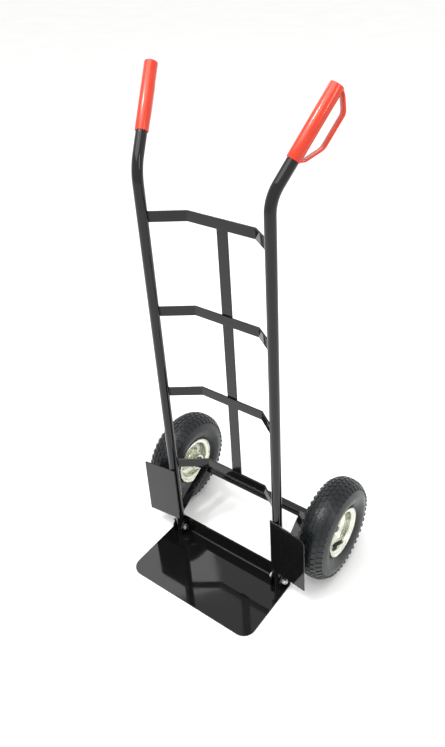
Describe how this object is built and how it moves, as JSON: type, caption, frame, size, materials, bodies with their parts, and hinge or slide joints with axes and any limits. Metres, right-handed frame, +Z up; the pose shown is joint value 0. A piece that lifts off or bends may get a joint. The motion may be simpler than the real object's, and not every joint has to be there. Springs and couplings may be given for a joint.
{
  "type": "hand truck",
  "caption": "Upright tubular hand truck with dished rungs, bolted toe plate, wheel guards, pneumatic wheels on a through axle and splayed grips with knuckle loops.",
  "frame": {"origin": "centre of the overall box at floor level", "axes": "+Z up along the uprights, +Y back towards the wheels and the user, X across the truck along the axle"},
  "size_m": [0.5364, 0.4226, 1.1745],
  "materials": {
    "black_powder_coat": "gloss",
    "zinc_plated_steel": "bright zinc",
    "zinc_plated_rim": "bright zinc",
    "bearing_steel": "ground",
    "orange_grip_plastic": "smooth gloss",
    "tyre_rubber": "moulded",
    "tube_rubber": "matte",
    "valve_rubber": "satin",
    "valve_cap_plastic": "satin"
  },
  "bodies": {
    "frame": {"left_upright": "black_powder_coat", "right_upright": "black_powder_coat", "rung_bottom": "black_powder_coat", "rung_lower_middle": "black_powder_coat", "rung_upper_middle": "black_powder_coat", "rung_top": "black_powder_coat", "centre_strap": "black_powder_coat", "axle_carrier": "black_powder_coat", "left_lower_brace": "black_powder_coat", "right_lower_brace": "black_powder_coat", "left_wheel_guard": "black_powder_coat", "right_wheel_guard": "black_powder_coat", "toe_plate": "black_powder_coat", "toe_bolts": "zinc_plated_steel", "toe_nuts": "zinc_plated_steel", "toe_washers": "zinc_plated_steel", "left_grip": "orange_grip_plastic", "right_grip": "orange_grip_plastic", "axle": "black_powder_coat", "axle_spacers": "zinc_plated_steel", "axle_inner_washers": "zinc_plated_steel", "axle_outer_washers": "zinc_plated_steel", "split_pins": "zinc_plated_steel", "left_bearing_inner_races": "bearing_steel", "right_bearing_inner_races": "bearing_steel", "left_bearing_sleeve": "bearing_steel", "right_bearing_sleeve": "bearing_steel"},
    "left_wheel": {"left_tyre": "tyre_rubber", "left_inner_tube": "tube_rubber", "left_rim_outer_half": "zinc_plated_rim", "left_rim_inner_half": "zinc_plated_rim", "left_hub": "zinc_plated_rim", "left_valve_stem": "valve_rubber", "left_valve_cap": "valve_cap_plastic", "left_rim_bolts": "zinc_plated_steel", "left_rim_nuts": "zinc_plated_steel", "left_bearing_outer_races": "bearing_steel", "left_bearing_balls": "bearing_steel"},
    "right_wheel": {"right_tyre": "tyre_rubber", "right_inner_tube": "tube_rubber", "right_rim_outer_half": "zinc_plated_rim", "right_rim_inner_half": "zinc_plated_rim", "right_hub": "zinc_plated_rim", "right_valve_stem": "valve_rubber", "right_valve_cap": "valve_cap_plastic", "right_rim_bolts": "zinc_plated_steel", "right_rim_nuts": "zinc_plated_steel", "right_bearing_outer_races": "bearing_steel", "right_bearing_balls": "bearing_steel"}
  },
  "joints": [
    {"name": "left_wheel_spin", "type": "hinge", "parent": "frame", "child": "left_wheel", "pos_m": [-0.2294, 0.08425, 0.127], "axis": [1, 0, 0], "continuous": true},
    {"name": "right_wheel_spin", "type": "hinge", "parent": "frame", "child": "right_wheel", "pos_m": [0.2294, 0.08425, 0.127], "axis": [1, 0, 0], "continuous": true}
  ]
}
